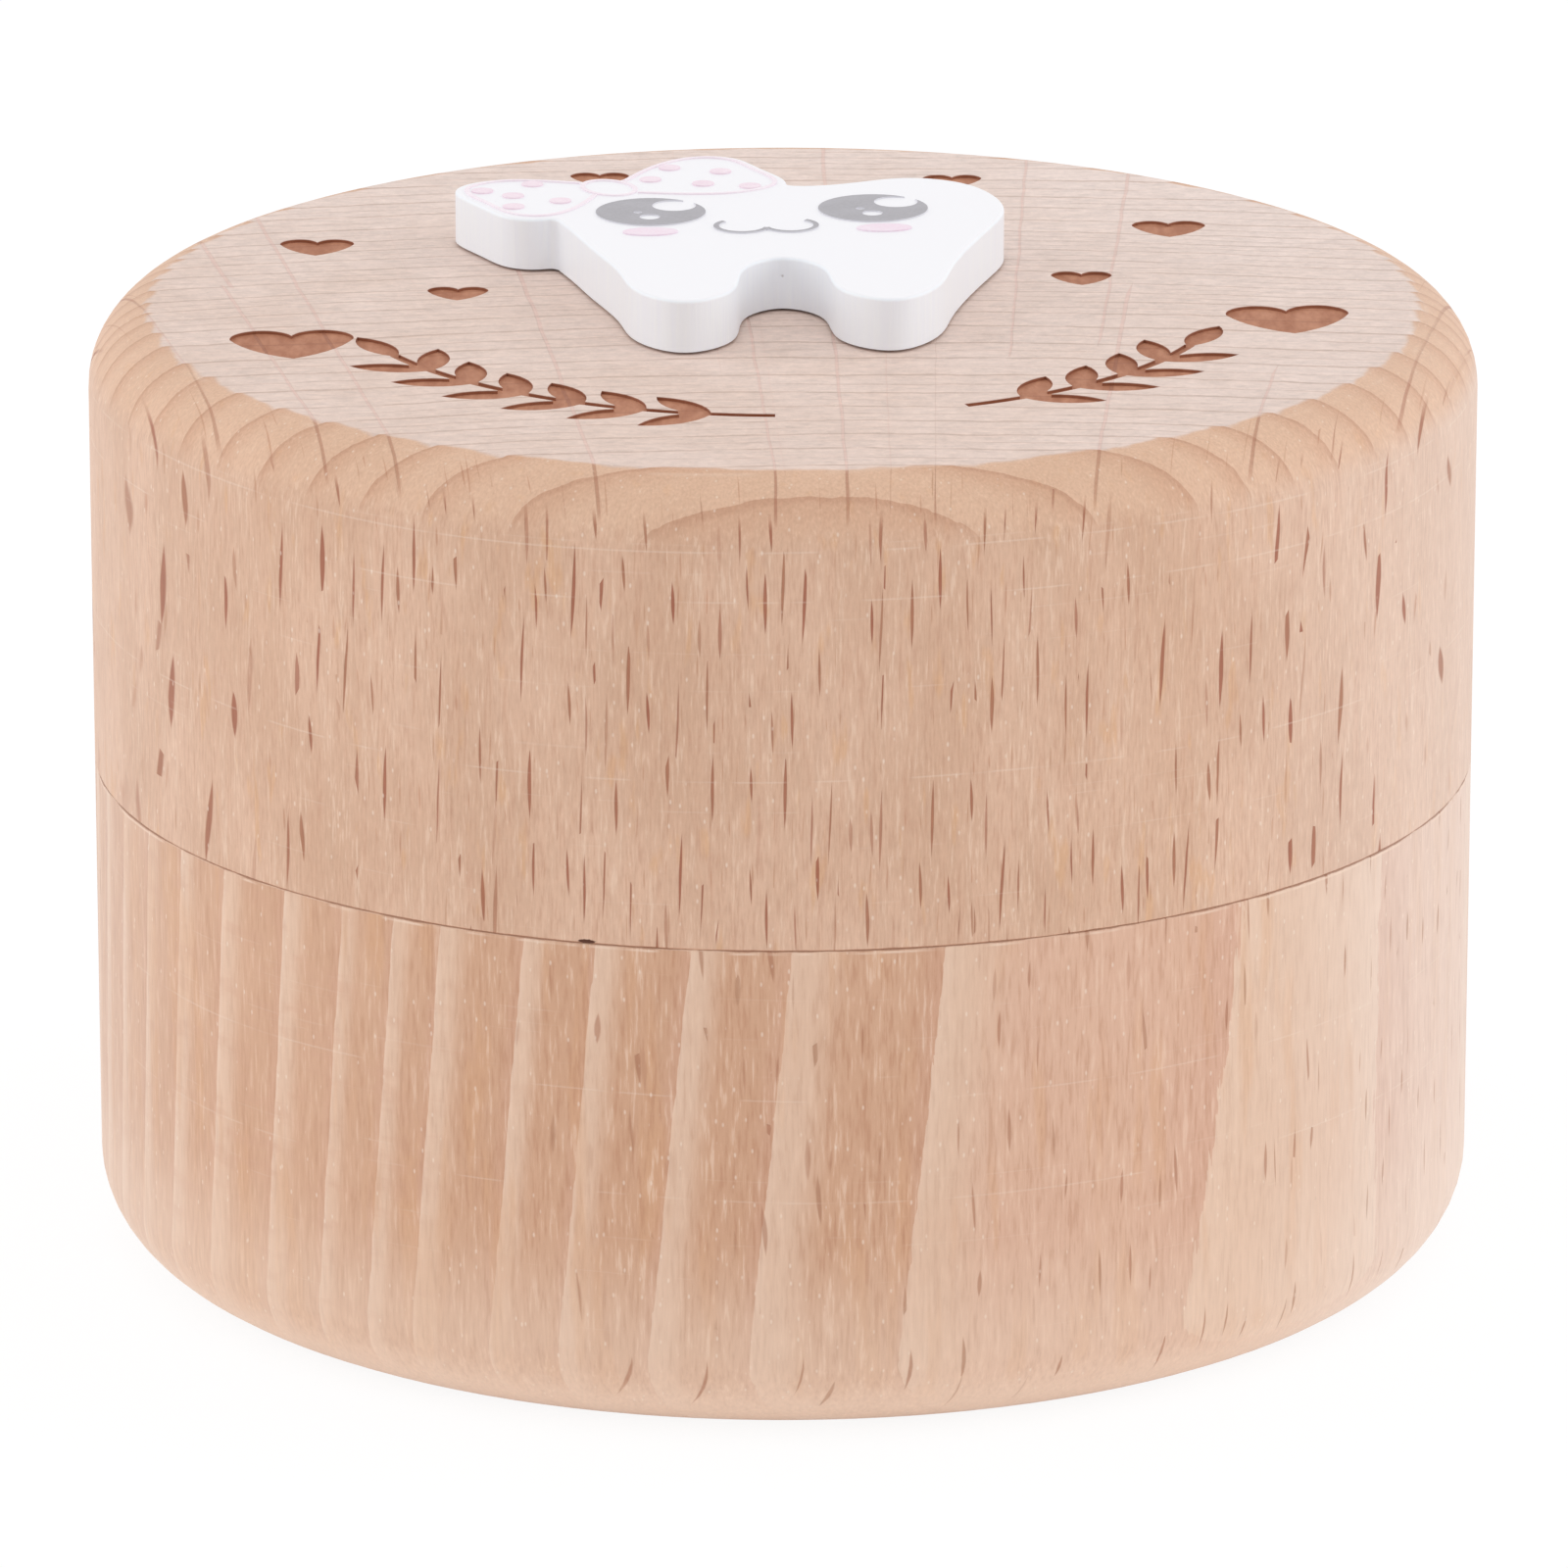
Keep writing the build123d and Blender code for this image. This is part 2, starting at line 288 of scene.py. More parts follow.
# %% A point in a block
class Block:
    """The place of a point in the material that a piece was cut from, in millimetres."""

    def __init__(self, finish, seed):
        self.finish, self.seed = finish, seed
        whole = finish.signal("TexCoord", "Object")
        plugs = {0: whole, "Scale": 1 / MM}
        place = finish.signal("VectorMath", plugs=plugs, operation="SCALE")
        self.x, self.y, self.z = finish.split(place)
        self.face = finish.split(finish.signal("NewGeometry", "Normal"))
        self.upright = self.face[2].size()

    def scaled(self, x, y, z):
        """The point with each axis stretched, for noise that is longer one way than another."""
        return self.finish.point(self.x * x + self.seed, self.y * y, self.z * z)

    def cloud(self, x, y, z, detail=2.0):
        """Noise whose spots are about 1/x, 1/y and 1/z millimetres, around zero."""
        return self.finish.noise(self.scaled(x, y, z), detail) - 0.5


# %% [markdown]
# ## Where a point lies in the tree
#
# A turned piece shows grain because the lathe cuts through rings that were there before. When
# the rings fill the block, those of the side meet those of the top, the rounds show their
# arcs, and the hollow inside is right as well. Every point gets its distance from the pith,
# its way round it, and its height along the fibre, which stands upright in both pieces.


# %% A point in the tree
class Log(Block):
    """The place of a point in the log that a piece was turned from.

    The rings sway, their edges are frayed by single fibres, they lean by so much in each
    millimetre of height, and where the grain spirals they also turn a little on the way up.
    """

    def __init__(self, finish, seed, pith, sway, fray, middle=0.0, lean=0.0, spiral=0.0):
        super().__init__(finish, seed)
        across, along = self.x - pith[0], self.y - pith[1]
        self.from_pith = (across * across + along * along).sum("SQRT")
        self.from_axis = (self.x * self.x + self.y * self.y).sum("SQRT")
        to_middle = math.hypot(*pith)
        out = [-side / to_middle for side in pith]
        ahead = across * out[0] + along * out[1]
        aside = across * -out[1] + along * out[0]
        self.round = aside.sum("ARCTAN2", ahead) * to_middle
        slow = self.cloud(0.09, 0.09, 0.05, 1.0) * sway
        quick = self.cloud(0.7, 0.7, 0.22) * sway * 0.3
        frayed = self.cloud(6.0, 6.0, 0.8) * fray
        tilt = (self.z - middle) * (aside * spiral + lean)
        self.ring_distance = self.from_pith + slow + quick + frayed + tilt
        bark_way = self.face[0] * across + self.face[1] * along
        self.tangential = (bark_way / self.from_pith).size()


# %% [markdown]
# ## Growth rings
#
# A year's growth starts pale at a sharp edge and darkens towards the next one. The edges lie
# where this very block has them, one to four millimetres apart, so they are given as a list.
# A Float Curve turns the distance from the pith into a running count of rings, and the
# fraction of that count says how far through its year a point is. The fraction jumps back to
# zero at each edge, which keeps the edge sharp.


# %% Rings
def year(log, edges):
    """How far through its year a point is, 0 to 1, and which year that is."""
    finish, span = log.finish, edges[-1] - edges[0]
    share = (log.ring_distance - edges[0]) / span
    node = finish.node("FloatCurve", {"Value": share})
    curve = node.mapping.curves[0]
    count = len(edges) - 1
    for number, edge in enumerate(edges):
        x, y = (edge - edges[0]) / span, number / count
        if number in (0, count):
            curve.points[0 if number == 0 else -1].location = (x, y)
        else:
            curve.points.new(x, y)
    for point in curve.points:
        point.handle_type = "VECTOR"
    node.mapping.update()
    running = Signal(finish, node.outputs[0]) * count
    return running.sum("FRACT"), running.sum("FLOOR")


def chance(finish, number, seed):
    """A fixed random value from 0 to 1 for each whole number."""
    return finish.signal("TexWhiteNoise", "Value", {"W": number + seed}, noise_dimensions="1D")


# %% [markdown]
# ## Rays
#
# Beech has rays: thin upright sheets that run from the pith to the bark. Cut across, on the
# front of the lid, they are the short brown spindles that make beech easy to recognise. On
# end grain they are fine lines that fan out from the pith. Cut along their length, on the
# flanks of the lid, they would be broad blots, so there each one is thinner and stays a short
# fleck. One lens-shaped sheet in each cell of a Voronoi texture gives all of these, because
# the texture is cut by whatever surface it meets.

# %% Rays
RAY_SWAY = 0.14
RAY_LEAN = 0.12
RAY_FADE = 0.4
RAY_EDGE = (-0.015, 0.03)
ALONG_TO_ACROSS = (-0.22, 0.35)


def rays(log, cell, thick, tall, rare, seed):
    """1 in the middle of a ray and 0 outside, and a random value for each ray's tint.

    Cell is (round, radial, height) in millimetres, thick and tall are the least and the most
    of half a ray's thickness and height, and rare is the share of cells without one. A sheet
    that meets the wall at a slant would show as a broad blot, so it is thinner there.
    """
    finish = log.finish
    slim = log.upright + (1 - log.upright) * log.tangential.rise(*ALONG_TO_ACROSS)
    swayed = log.round + log.cloud(0.35, 0.35, 0.35, 1.0) * RAY_SWAY
    scaled = [value / side for value, side in zip((swayed, log.from_pith, log.z), cell)]
    point = finish.point(scaled[0] + seed, scaled[1], scaled[2])
    cells = finish.node("TexVoronoi", {"Vector": point, "Scale": 1.0, "Randomness": 1.0})
    centre = Signal(finish, cells.outputs["Position"])
    gap = finish.signal("VectorMath", plugs={0: point, 1: centre}, operation="SUBTRACT")
    gap_round, _, gap_height = finish.split(gap)
    dice = finish.node("SeparateColor", {0: Signal(finish, cells.outputs["Color"])})
    first, second, third = [Signal(finish, out) for out in dice.outputs]
    up = gap_height * cell[2]
    aside = gap_round * cell[0] + up * (first - 0.5) * RAY_LEAN
    half = tall[0] + (tall[1] - tall[0]) * first
    waist = thick[0] + (thick[1] - thick[0]) * second
    reach = up / half
    inside = waist * slim * (1 - reach * reach) - aside.size()
    there = third.rise(rare, rare + RAY_FADE)
    return inside.rise(*RAY_EDGE) * there, (second * 7.31).sum("FRACT")


# %% [markdown]
# ## Fibre, pores and sanding marks
#
# Between the rays the wood is a bundle of upright fibres, a tenth of a millimetre wide. Noise
# that is squeezed sideways and stretched upright gives their streaks on the side and their
# pores on end grain. A few fibres are torn and show as dark specks, and others as pale specks
# that are also painted glints, where they would catch the light. The last sanding on the lathe
# left faint lines that run level round the piece, a few at heights of their own and many fine
# ones between.

# %% Fibre, specks and turned lines
LINE_REACH = 0.055


def specks(log, spacing, radius, length, rare, seed):
    """Short bright or dark fibres scattered over the wood, 1 on a speck."""
    finish = log.finish
    point = finish.point(log.x / spacing + seed, log.y / spacing, log.z / (spacing * length))
    cells = finish.node("TexVoronoi", {"Vector": point, "Scale": 1.0, "Randomness": 1.0})
    dice = finish.signal("SeparateColor", 0, {0: Signal(finish, cells.outputs["Color"])})
    near = Signal(finish, cells.outputs["Distance"]) * spacing
    return near.rise(radius, radius * 0.35) * dice.rise(rare, rare + 0.1)


def turned_lines(log, heights):
    """Pale scratches that run level round the wall, broken here and there, at these heights."""
    height = log.z + log.cloud(0.05, 0.05, 0.0, 0.0) * 0.6
    broken = log.cloud(0.4, 0.4, 1.2)
    lines = sum(height.near(place, LINE_REACH) for place in heights)
    fine = log.finish.noise(log.finish.point(height * 6.0 + log.seed, 0.0, 0.0), 1.0)
    fine = fine.rise(0.58, 0.7) * broken.rise(0.02, 0.16) * 0.6
    return lines * broken.rise(-0.06, 0.06) + fine


# %% [markdown]
# ## The lid's wood
#
# The lid was cut with its pith well in front, so its front is a flat-sawn face full of
# spindles. The rings cross its flat top as thin wavy lines that bulge to the back, and cut the
# round in hooks and one long arc at the front. The list gives where they cross the middle of
# the top, from front to back. The flat top is end grain, paler and pinker than the side, with
# the rays as hair-thin pink lines, and it meets the round in a slightly scalloped border.

# %% Lid wood: rings, rays and fibre
LID_PITH = (4.0, -110.0)
LID_RING_PLACES = (-26.6, -24.0, -22.2, -20.0, -18.2, -16.4, -14.4, -12.5, -10.2, -7.9, -5.8,
                   -3.4, -1.5, 0.1, 1.4, 2.7, 4.4, 6.0, 7.5, 8.8, 10.2, 11.9, 13.8, 15.4, 17.8,
                   19.7, 21.4, 23.2, 26.0)
LID_LINES = (32.15, 30.4, 24.0)
FLAT_RADIUS = 22.85
FLAT_BORDER = 0.12
CROWN_DEPTH = 0.9
lid_low, lid_high = [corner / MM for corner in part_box("lid")]
TOP = lid_high.z
SEAM = lid_low.z

beech = Finish("lid_beech")
log = Log(beech, seed=3.1, pith=LID_PITH, sway=1.1, fray=0.04)
lid_rings = [place + math.hypot(*LID_PITH) for place in LID_RING_PLACES]
through, _ = year(log, lid_rings)
spindle, tint = rays(log, cell=(1.1, 13.0, 3.5), thick=(0.04, 0.09), tall=(0.6, 1.7),
                     rare=0.1, seed=1.7)
small_spindle, small_tint = rays(log, cell=(0.6, 9.0, 1.9), thick=(0.02, 0.045),
                                 tall=(0.25, 0.7), rare=0.45, seed=8.3)
tall_ray, _ = rays(log, cell=(2.7, 60.0, 9.0), thick=(0.06, 0.1), tall=(3.0, 5.0),
                   rare=0.0, seed=4.4)
high = log.z.rise(TOP - 1.7, TOP - CROWN_DEPTH)
spindle = spindle * (1 - high) + tall_ray * high
streak = log.cloud(11.0, 11.0, 1.3, 4.0)
band = log.cloud(3.2, 3.2, 0.3)
patch = log.cloud(0.3, 0.3, 0.12, 3.0)
honey = log.cloud(1.5, 1.5, 0.35).rise(0.1, 0.22)
grit = log.cloud(4.5, 4.5, 4.5, 4.0)
weave = log.cloud(1.3, 3.2, 1.0, 4.0)
pale = specks(log, spacing=0.32, radius=0.06, length=2.0, rare=0.5, seed=4.0)
dark = specks(log, spacing=0.9, radius=0.06, length=1.8, rare=0.8, seed=9.0)
lines = turned_lines(log, LID_LINES)
# Painted light: both flanks are paler, the right one more, as if the side lamps lit them more.
painted_flank_light = log.x.rise(13.0, 26.0) * 0.36 + log.x.rise(-17.0, -26.0) * 0.1
scallop = (through - 0.5) * 0.35 + log.cloud(0.8, 0.8, 0.8) * 0.5
crown = log.z.rise(TOP - 1.2, TOP - CROWN_DEPTH)
inner = (log.from_axis + scallop).rise(FLAT_RADIUS + FLAT_BORDER, FLAT_RADIUS - FLAT_BORDER)
flat = crown * inner
flat = flat + (1 - crown) * log.upright.rise(0.965, 0.995)

# %% [markdown]
# ## The lid's colours
#
# The side starts as a brown that varies a little from place to place. Each thing that changes
# it is then mixed in by its own share: honey patches, dark and pale fibres, the round, oranger
# where it cuts the grain at a slant and paler as painted light from above, and painted light
# that makes the flanks paler. The top has its own browns, with painted light that pales its
# back and right, and the rays are laid over both. Torn fibres, pale and partly painted glints,
# and turned lines come last, because they lie on the finished surface.

# %% Lid wood: colours
SIDE_DARK, SIDE_LIGHT = colour(209, 171, 145), colour(219, 182, 157)
LATE_WOOD = colour(205, 160, 132)
HONEY = colour(216, 166, 120)
DARK_FIBRE, PALE_FIBRE = colour(200, 152, 126), colour(231, 204, 182)
BEND_EARLY, BEND_LATE = colour(226, 188, 160), colour(210, 165, 136)
BEND_EDGE = colour(186, 136, 108)
FLANK_PAINTED_LIGHT = colour(235, 221, 212)
TOP_DARK, TOP_LIGHT = colour(222, 198, 185), colour(228, 206, 195)
TOP_PAINTED_LIGHT = colour(239, 226, 222)
TOP_RING = colour(178, 144, 124)
RAY_DARK, RAY_LIGHT = colour(154, 84, 60), colour(164, 108, 80)
SMALL_RAY_DARK, SMALL_RAY_LIGHT = colour(176, 112, 82), colour(176, 128, 98)
TOP_RAY = colour(220, 180, 168)
TORN_FIBRE_AND_GLINT = colour(245, 227, 210)

late = through.rise(0.45, 1.0)
edge = through.rise(0.89, 0.97)
half_way = through.near(0.45, 0.05) * log.cloud(0.2, 0.6, 0.5).rise(-0.1, 0.04)
rounding = log.upright.rise(0.12, 0.5) * (1 - flat)

side = beech.mix(patch.rise(-0.2, 0.2), SIDE_DARK, SIDE_LIGHT)
side = beech.mix(late * 0.06, side, LATE_WOOD)
side = beech.mix(honey * 0.4, side, HONEY)
thread = streak * 0.7 + band * 0.5
side = beech.mix(thread.rise(0.0, -0.17) * 0.35, side, DARK_FIBRE)
side = beech.mix(thread.rise(0.04, 0.18) * 0.4, side, PALE_FIBRE)
# The round is oranger where it cuts the grain at a slant, and paler as painted light from above.
bend = beech.mix(late, BEND_EARLY, BEND_LATE)
bend = beech.mix(edge * 0.65, bend, BEND_EDGE)
side = beech.mix(rounding * 0.6, side, bend)
# Painted light on the flanks.
side = beech.mix(painted_flank_light * (1 - rounding * 0.8), side, FLANK_PAINTED_LIGHT)
top = beech.mix(patch.rise(-0.3, 0.3), TOP_DARK, TOP_LIGHT)
# Painted light: the top is paler towards the back and the right, as if lit more there.
top_painted_light = log.y.rise(-5.0, 25.0) * 0.3 + log.x.rise(0.0, 22.0) * 0.2
top = beech.mix(top_painted_light, top, TOP_PAINTED_LIGHT)
line_share = log.cloud(0.4, 1.2, 1.2).rise(-0.3, 0.05)
top = beech.mix(edge * line_share * 0.55, top, TOP_RING)
top = beech.mix(half_way * line_share * 0.4, top, TOP_RING)
wood = beech.mix(flat, side, top)
turned_away = 0.4 + log.tangential.rise(0.0, 0.2) * 0.6
ray_brown = beech.mix(tint, RAY_DARK, RAY_LIGHT)
wood = beech.mix(spindle * turned_away * (1 - flat) * (0.85 - high * 0.35), wood, ray_brown)
small_brown = beech.mix(small_tint, SMALL_RAY_DARK, SMALL_RAY_LIGHT)
wood = beech.mix(small_spindle * turned_away * (1 - flat) * 0.45, wood, small_brown)
wood = beech.mix(spindle * flat * 0.5, wood, TOP_RAY)
tone = 1 + streak * (0.3 - flat * 0.2) + grit * (0.1 + flat * 0.2)
tone = tone + weave * flat * 0.42 - dark * 0.1
wood = beech.mix(1.0, wood, beech.point(tone, tone, tone), "MULTIPLY")
# The pale specks are torn fibres and also painted glints; the turned lines are pale scratches.
wood = beech.mix(pale * 0.45 + lines * 0.22 * (1 - flat), wood, TORN_FIBRE_AND_GLINT)

# %% [markdown]
# ## Burnt ornament
#
# The hearts and leaves were burnt about a tenth of a millimetre into the top. The floor of the
# burn is an even brown in which the grain still shows, and its walls are darker. The solid
# already has the recesses, so the height alone says what is burnt: everything just below the
# top and inside its flat.

# %% Burnt ornament
CHAR_DARK, CHAR_LIGHT = colour(166, 106, 76), colour(192, 134, 104)
CHAR_RING = colour(142, 86, 60)
CHAR_RAY = colour(142, 84, 60)
CHAR_WALL = colour(142, 86, 62)

burnt = log.z.rise(TOP - 0.01, TOP - 0.03) * log.z.rise(TOP - 0.4, TOP - 0.3)
burnt = burnt * log.from_axis.rise(FLAT_RADIUS - 0.05, FLAT_RADIUS - 0.1)
wall = log.upright.rise(0.7, 0.3)
scorch = log.cloud(2.2, 0.7, 1.0, 3.0)
char = beech.mix(scorch.rise(-0.2, 0.25), CHAR_DARK, CHAR_LIGHT)
char = beech.mix(edge * 0.35, char, CHAR_RING)
char = beech.mix(spindle * 0.5, char, CHAR_RAY)
char = beech.mix(wall * 0.7, char, CHAR_WALL)
wood = beech.mix(burnt, wood, char)

# %% [markdown]
# ## The saw cut
#
# Cup and lid meet at a hairline. It is painted dark brown and wavers a little, and just under
# it the cup's edge has a broken painted highlight, where its lip catches the light.
# One splinter is missing from the lid's edge, and its notch is painted dark as painted shade.
# That is a matter of hundredths of a millimetre, so it is painted on the two tiny chamfers that
# the solids have there.

# %% Saw cut
BODY_RADIUS = 25.0
CUT_BROWN = colour(146, 90, 62)
PAINTED_LIP_HIGHLIGHT = colour(238, 212, 192)
SPLINTER = (-6.75, -24.07, 18.07)
SPLINTER_SIZE = (0.3, 0.3, 0.085)
SPLINTER_PAINTED_SHADE = colour(88, 52, 38)


def saw_cut(log, wood):
    """Darkens a hairline on the outer edge at the seam, and paints a highlight on the edge under
    it.
    """
    finish = log.finish
    outside = log.from_axis.rise(BODY_RADIUS - 0.2, BODY_RADIUS - 0.15)
    waver = finish.noise(finish.point(log.x * 1.6, log.y * 1.6, 0.0), 3.0)
    above = log.z - SEAM + waver * 0.05 - 0.025
    patchy = finish.noise(finish.point(log.x * 0.5, log.y * 0.5, 3.0), 2.0)
    # Painted highlight: the lip just under the hairline is paler in broken stretches.
    lip_highlight = above.near(-0.11, 0.07) * patchy.rise(0.45, 0.62) * outside
    wood = finish.mix(lip_highlight * 0.7, wood, PAINTED_LIP_HIGHLIGHT)
    cut = (patchy * 0.12 - 0.025 - above.size()).rise(-0.01, 0.015) * outside
    return finish.mix(cut * 0.6, wood, CUT_BROWN)


wood = saw_cut(log, wood)
# Painted shade: the notch of the missing splinter is dark, though the solid has no notch.
miss = [(value - place) / size for value, place, size in
        zip((log.x, log.y, log.z), SPLINTER, SPLINTER_SIZE)]
off = (miss[0] * miss[0] + miss[1] * miss[1] + miss[2] * miss[2]).sum("SQRT")
notch_shade_edge = off + log.cloud(7.0, 7.0, 7.0, 1.0) * 1.1
wood = beech.mix(notch_shade_edge.rise(1.05, 0.8), wood, SPLINTER_PAINTED_SHADE)

# %% [markdown]
# ## Bare, sanded wood
#
# Both pieces have the same skin: dull, with a trace of the soft sheen that short fibres give,
# and a relief of about two hundredths of a millimetre. Spindles and torn fibres lie a little
# lower than the rest, turned lines a little higher.

# %% Lid wood: skin
WOOD_RELIEF = 0.018
BARE_WOOD = {"Specular_IOR_Level": 0.22, "Sheen_Weight": 0.08, "Sheen_Roughness": 0.4}

relief = streak * 0.6 - spindle * 0.8 - pale * 0.3 + lines * 0.3 + burnt * scorch * 1.5
gloss = 0.6 - spindle * 0.08 + streak * 0.15 + burnt * 0.1
beech.surface(wood, gloss, relief, WOOD_RELIEF, **BARE_WOOD)
beech.wear("lid")

# %% [markdown]
# ## The cup's wood
#
# The cup comes from another block, turned so that the rings cross it at an angle: broad
# upright bands on the right, narrow ones on the left. Each band starts with a pale line and
# darkens. The pith is far off behind the left, so the bands are nearly straight. The list
# gives the angles round the cup at which they start, at half height, from the side nearest
# the pith to the broad pale band at the front right. Each is turned into a distance from the
# pith, which the ring node needs.

# %% Cup wood: rings, rays and fibre
CUP_PITH_DISTANCE = 160.0
CUP_PITH_WAY = math.radians(138)
CUP_PITH = (CUP_PITH_DISTANCE * math.cos(CUP_PITH_WAY),
            CUP_PITH_DISTANCE * math.sin(CUP_PITH_WAY))
CUP_MIDDLE = 13.5
CUP_LEAN = -0.017
CUP_SPIRAL = 0.0027
CUP_BAND_ANGLES = (-220.0, -205.0, -192.0, -182.0, -174.0, -167.0, -161.0, -155.0, -149.0, -142.6,
                   -134.8, -128.6, -123.5, -119.2, -111.9, -106.0, -98.4, -90.3, -78.3, -51.3)
CUP_LINES = (12.6, 8.9)


def band_start(angle):
    """How far from the pith a band starts that shows at an angle round the cup."""
    way = math.radians(angle)
    place = (BODY_RADIUS * math.cos(way), BODY_RADIUS * math.sin(way))
    return math.dist(place, CUP_PITH)


cup_rings = [band_start(angle) for angle in CUP_BAND_ANGLES]
cup_rings = [cup_rings[0] - 3.0, *cup_rings, cup_rings[-1] + 4.0]
print("cup rings from the pith", [round(ring, 1) for ring in cup_rings])

cup = Finish("cup_beech")
log = Log(cup, seed=11.7, pith=CUP_PITH, sway=0.4, fray=0.14, middle=CUP_MIDDLE,
          lean=CUP_LEAN, spiral=CUP_SPIRAL)
through, which = year(log, cup_rings)
end_grain = log.upright.rise(0.8, 0.99)
spindle, tint = rays(log, cell=(1.3, 13.0, 3.0), thick=(0.03, 0.07), tall=(0.45, 1.0),
                     rare=0.25, seed=5.1)
streak = log.cloud(8.0, 8.0, 0.9, 4.0)
band = log.cloud(3.2, 3.2, 0.35, 3.0)
patch = log.cloud(0.3, 0.3, 0.12)
honey = log.cloud(0.9, 0.9, 0.1)
mottle = cup.noise(cup.point(log.x * 0.5 + 7.0, log.y * 0.5, log.z * 1.5), 3.0) - 0.5
pale = specks(log, spacing=0.32, radius=0.06, length=2.0, rare=0.45, seed=14.0)
dark = specks(log, spacing=0.9, radius=0.06, length=1.8, rare=0.8, seed=19.0)
lines = turned_lines(log, CUP_LINES)
# Painted light: both flanks of the cup are paler, the right one more.
painted_flank_light = log.x.rise(15.0, 24.5) * 0.5 + log.x.rise(-19.0, -27.0) * 0.3

# %% [markdown]
# ## The cup's colours
#
# Within a band the wood ripens from pale to brown, sooner in some bands than in others. Where
# the face runs along the radius, the first line of each band and the mottle are stronger and
# the fibres fainter. The last two bands, at the front right, are rosier than the rest. Towards
# the foot, where the wall turns into end grain, it is painted paler as painted light from the
# lit table below, and both flanks are painted paler as painted light, the right one more.

# %% Cup wood: colours
ROSY_BAND = 18.5
CUP_EARLY, CUP_RIPE, CUP_ROSY = colour(222, 189, 165), colour(206, 163, 134), colour(218, 178, 154)
CUP_LAST, CUP_FIRST_LINE = colour(206, 160, 138), colour(236, 209, 188)
CUP_PATCH, CUP_HONEY = colour(219, 180, 153), colour(213, 164, 124)
CUP_DARK_FIBRE, CUP_PALE_FIBRE = colour(192, 140, 110), colour(232, 204, 182)
CUP_MOTTLE, CUP_FOOT_PAINTED_LIGHT = colour(207, 163, 138), colour(235, 208, 187)
CUP_FLANK_PAINTED_LIGHT = colour(234, 221, 212)
CUP_RAY_DARK, CUP_RAY_LIGHT = colour(164, 104, 76), colour(168, 122, 94)
FOOT_EARLY, FOOT_RIPE = colour(231, 204, 186), colour(223, 191, 170)
FOOT_LINE, FOOT_RAY = colour(234, 211, 194), colour(208, 166, 148)

early = 0.06 + 0.12 * chance(cup, which, 0.7)
ripe = (through - early).rise(0.0, 0.32)
first_line = through.rise(0.1, 0.0)
last = through.rise(0.8, 1.0)
# Painted light: the wall is paler towards the foot, as if lit from the table below, and its bands
# are fainter there.
foot_painted_light = log.upright.rise(0.2, 0.75) * 0.5 + log.z.rise(8.0, 2.5) * 0.5
radial_face = log.tangential.rise(0.6, 0.15)
contrast = (1 - foot_painted_light * 0.5) * (1 - radial_face * 0.1)
rosy = which.rise(ROSY_BAND - 0.3, ROSY_BAND + 0.3)

ripe_tone = cup.mix(rosy, CUP_RIPE, CUP_ROSY)
side = cup.mix(ripe * contrast, CUP_EARLY, ripe_tone)
side = cup.mix(last * contrast * 0.4, side, CUP_LAST)
side = cup.mix(first_line * (0.25 + radial_face * 0.25), side, CUP_FIRST_LINE)
side = cup.mix(patch.rise(-0.1, 0.2) * 0.3, side, CUP_PATCH)
side = cup.mix(honey.rise(0.02, 0.16) * 0.35, side, CUP_HONEY)
fibres = (0.35 + ripe * 0.65) * (1 - radial_face * 0.45) * (1 - rosy * 0.3)
thread = streak * 0.8 + band * 0.5
side = cup.mix(thread.rise(0.0, -0.17) * fibres * 0.5, side, CUP_DARK_FIBRE)
side = cup.mix(thread.rise(0.04, 0.19) * fibres * 0.5, side, CUP_PALE_FIBRE)
side = cup.mix(mottle.rise(-0.05, 0.22) * (0.1 + radial_face * 0.3), side, CUP_MOTTLE)
side = cup.mix(foot_painted_light * 0.85, side, CUP_FOOT_PAINTED_LIGHT)
# Painted light on the flanks.
side = cup.mix(painted_flank_light, side, CUP_FLANK_PAINTED_LIGHT)
foot = cup.mix(ripe, FOOT_EARLY, FOOT_RIPE)
foot = cup.mix(first_line * 0.5, foot, FOOT_LINE)
wood = cup.mix(end_grain, side, foot)
turned_away = log.tangential.rise(0.35, 0.6)
ray_brown = cup.mix(tint, CUP_RAY_DARK, CUP_RAY_LIGHT)
wood = cup.mix(spindle * turned_away * 0.6, wood, ray_brown)
wood = cup.mix(spindle * end_grain * 0.35, wood, FOOT_RAY)
tone = 1 + streak * 0.2 + band * 0.08 - dark * 0.09
wood = cup.mix(1.0, wood, cup.point(tone, tone, tone), "MULTIPLY")
# The pale specks are torn fibres and also painted glints; the turned lines are pale scratches.
wood = cup.mix(pale * 0.45 + lines * 0.18, wood, TORN_FIBRE_AND_GLINT)
wood = saw_cut(log, wood)
relief = streak * 0.6 - spindle * 0.6 - pale * 0.3 + lines * 0.3
gloss = 0.6 + streak * 0.15
cup.surface(wood, gloss, relief, WOOD_RELIEF, **BARE_WOOD)
cup.wear("base_cup")

# %% [markdown]
# ## The white cut-out
#
# A sheet of about two millimetres, cut by laser and sprayed white. Its face is smooth and
# satin. Its edge is rougher and has fine upright streaks and a few grey specks, and it is painted
# a little bluer than the face, as painted cool light that offsets the warm light from the wood.
# Under it lies a film of clear glue.

# %% White cut-out
EDGE_DULL, EDGE_BRIGHT = colour(244, 248, 255), colour(247, 251, 255)
FACE_WHITE, SPECK_GREY = colour(247, 246, 250), colour(196, 190, 194)
GLUE_DARK, GLUE_LIGHT = colour(222, 214, 196), colour(234, 228, 214)
PAINT_RELIEF = 0.02
GLUE_RELIEF = 0.01

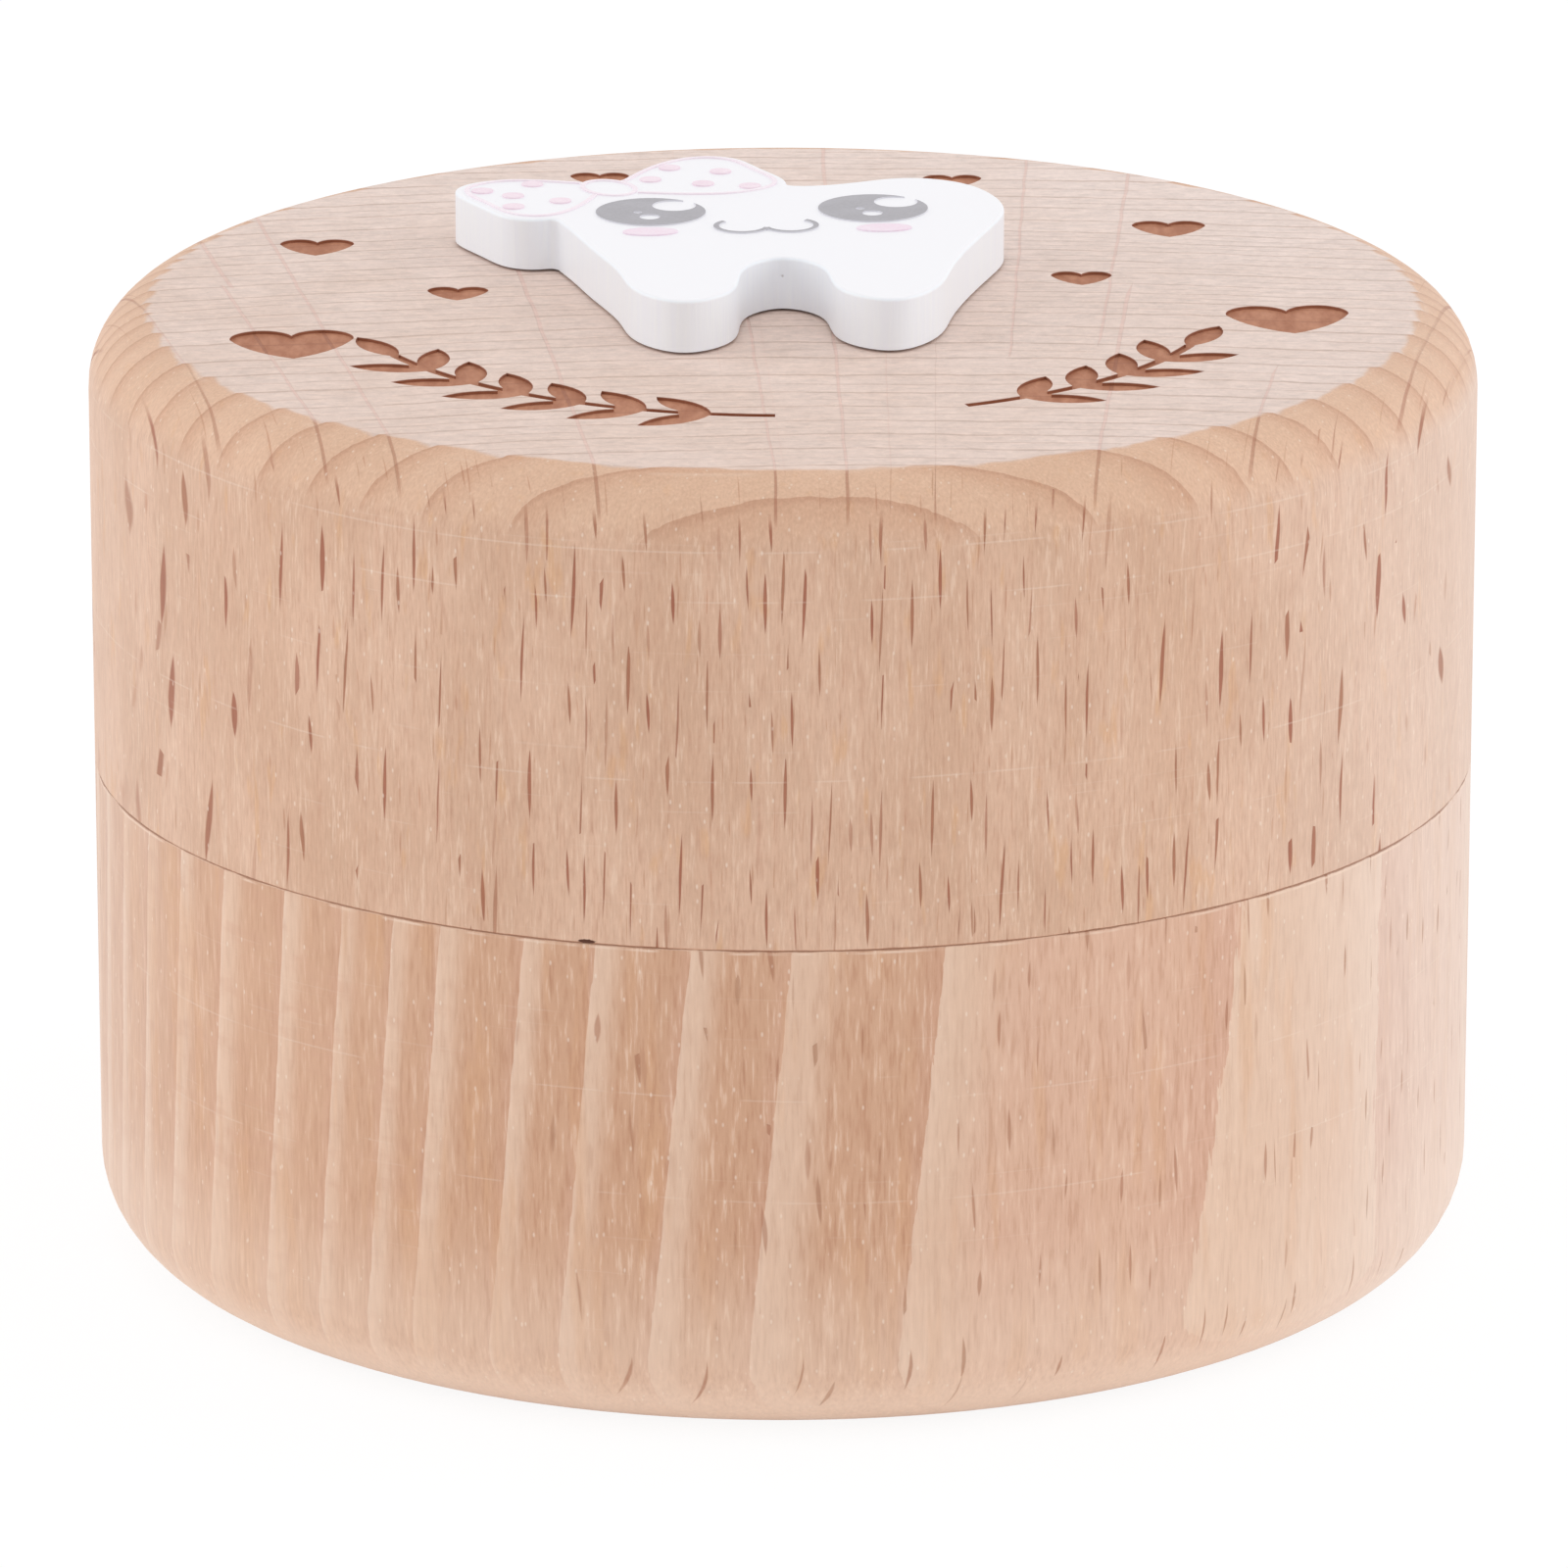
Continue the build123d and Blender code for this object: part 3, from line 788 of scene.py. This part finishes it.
white = Finish("white_paint")
sheet = Block(white, seed=21.3)
face = sheet.upright.rise(0.6, 0.95)
streak = sheet.cloud(5.0, 5.0, 0.35, 3.0)
cloud = sheet.cloud(0.5, 0.5, 0.5)
grey_speck = specks(sheet, spacing=1.3, radius=0.06, length=1.0, rare=0.84, seed=3.0)
# Painted cool light: the cut edge is bluer than the face, to offset the warm light from the wood.
cut_edge = white.mix(streak.rise(-0.25, 0.3), EDGE_DULL, EDGE_BRIGHT)
paint = white.mix(face, cut_edge, FACE_WHITE)
# A few small grey specks, each also a slight dent in the relief.
paint = white.mix(grey_speck * (0.7 - face * 0.45), paint, SPECK_GREY)
relief = (1 - face) * streak * 0.8 + cloud * 0.5 - grey_speck * 1.2
white.surface(paint, 0.42 - face * 0.1, relief, PAINT_RELIEF, Specular_IOR_Level=0.45)
white.wear("tooth_cutout")

glue = Finish("clear_glue")
cloud = Block(glue, seed=31.1).cloud(0.6, 0.6, 0.6)
film = glue.mix(cloud + 0.5, GLUE_DARK, GLUE_LIGHT)
glue.surface(film, 0.25, cloud, GLUE_RELIEF, Specular_IOR_Level=0.5)
glue.wear("glue_pad")

# %% [markdown]
# ## Printed ink
#
# The face and the bow are printed on the paint. Ink takes the gloss of the paint under it,
# and a print is made of fine dots, so its tone is a little uneven. The films of the solids
# are thicker than ink, so the rims of the dark one are as pale as the paint and don't show.
# There is a cool grey, a pink for the cheeks and two paler pinks for the bow.

# %% Printed ink
RIM_WHITE = colour(242, 242, 248)
INK_ROUGHNESS = 0.36
INK_RELIEF = 0.004


def ink(name, thin, full, rim, seed, pieces):
    """A printed colour that varies between a thin and a full coat, with a pale rim or none."""
    finish = Finish(name)
    print_face = Block(finish, seed)
    dots = print_face.cloud(9.0, 9.0, 9.0, 1.0)
    coat = print_face.cloud(0.8, 0.8, 0.8, 1.0)
    share = dots.rise(-0.2, 0.2) * 0.5 + coat.rise(-0.2, 0.2) * 0.5
    tint = finish.mix(share, colour(*thin), colour(*full))
    tint = finish.mix(print_face.upright.rise(0.7, 0.3) * rim, tint, RIM_WHITE)
    finish.surface(tint, INK_ROUGHNESS, dots, INK_RELIEF, Specular_IOR_Level=0.45)
    finish.wear(*pieces)


ink("printed_grey", thin=(168, 165, 172), full=(156, 153, 159), rim=0.7, seed=41.0,
    pieces=("eye_ink", "mouth_ink"))
ink("cheek_pink", thin=(245, 230, 241), full=(243, 218, 233), rim=0.0, seed=43.0,
    pieces=("cheek_ink",))
ink("bow_line_pink", thin=(250, 240, 246), full=(246, 230, 239), rim=0.0, seed=45.0,
    pieces=("bow_line_ink",))
ink("bow_dot_pink", thin=(248, 230, 239), full=(240, 216, 229), rim=0.0, seed=47.0,
    pieces=("bow_dot_ink",))
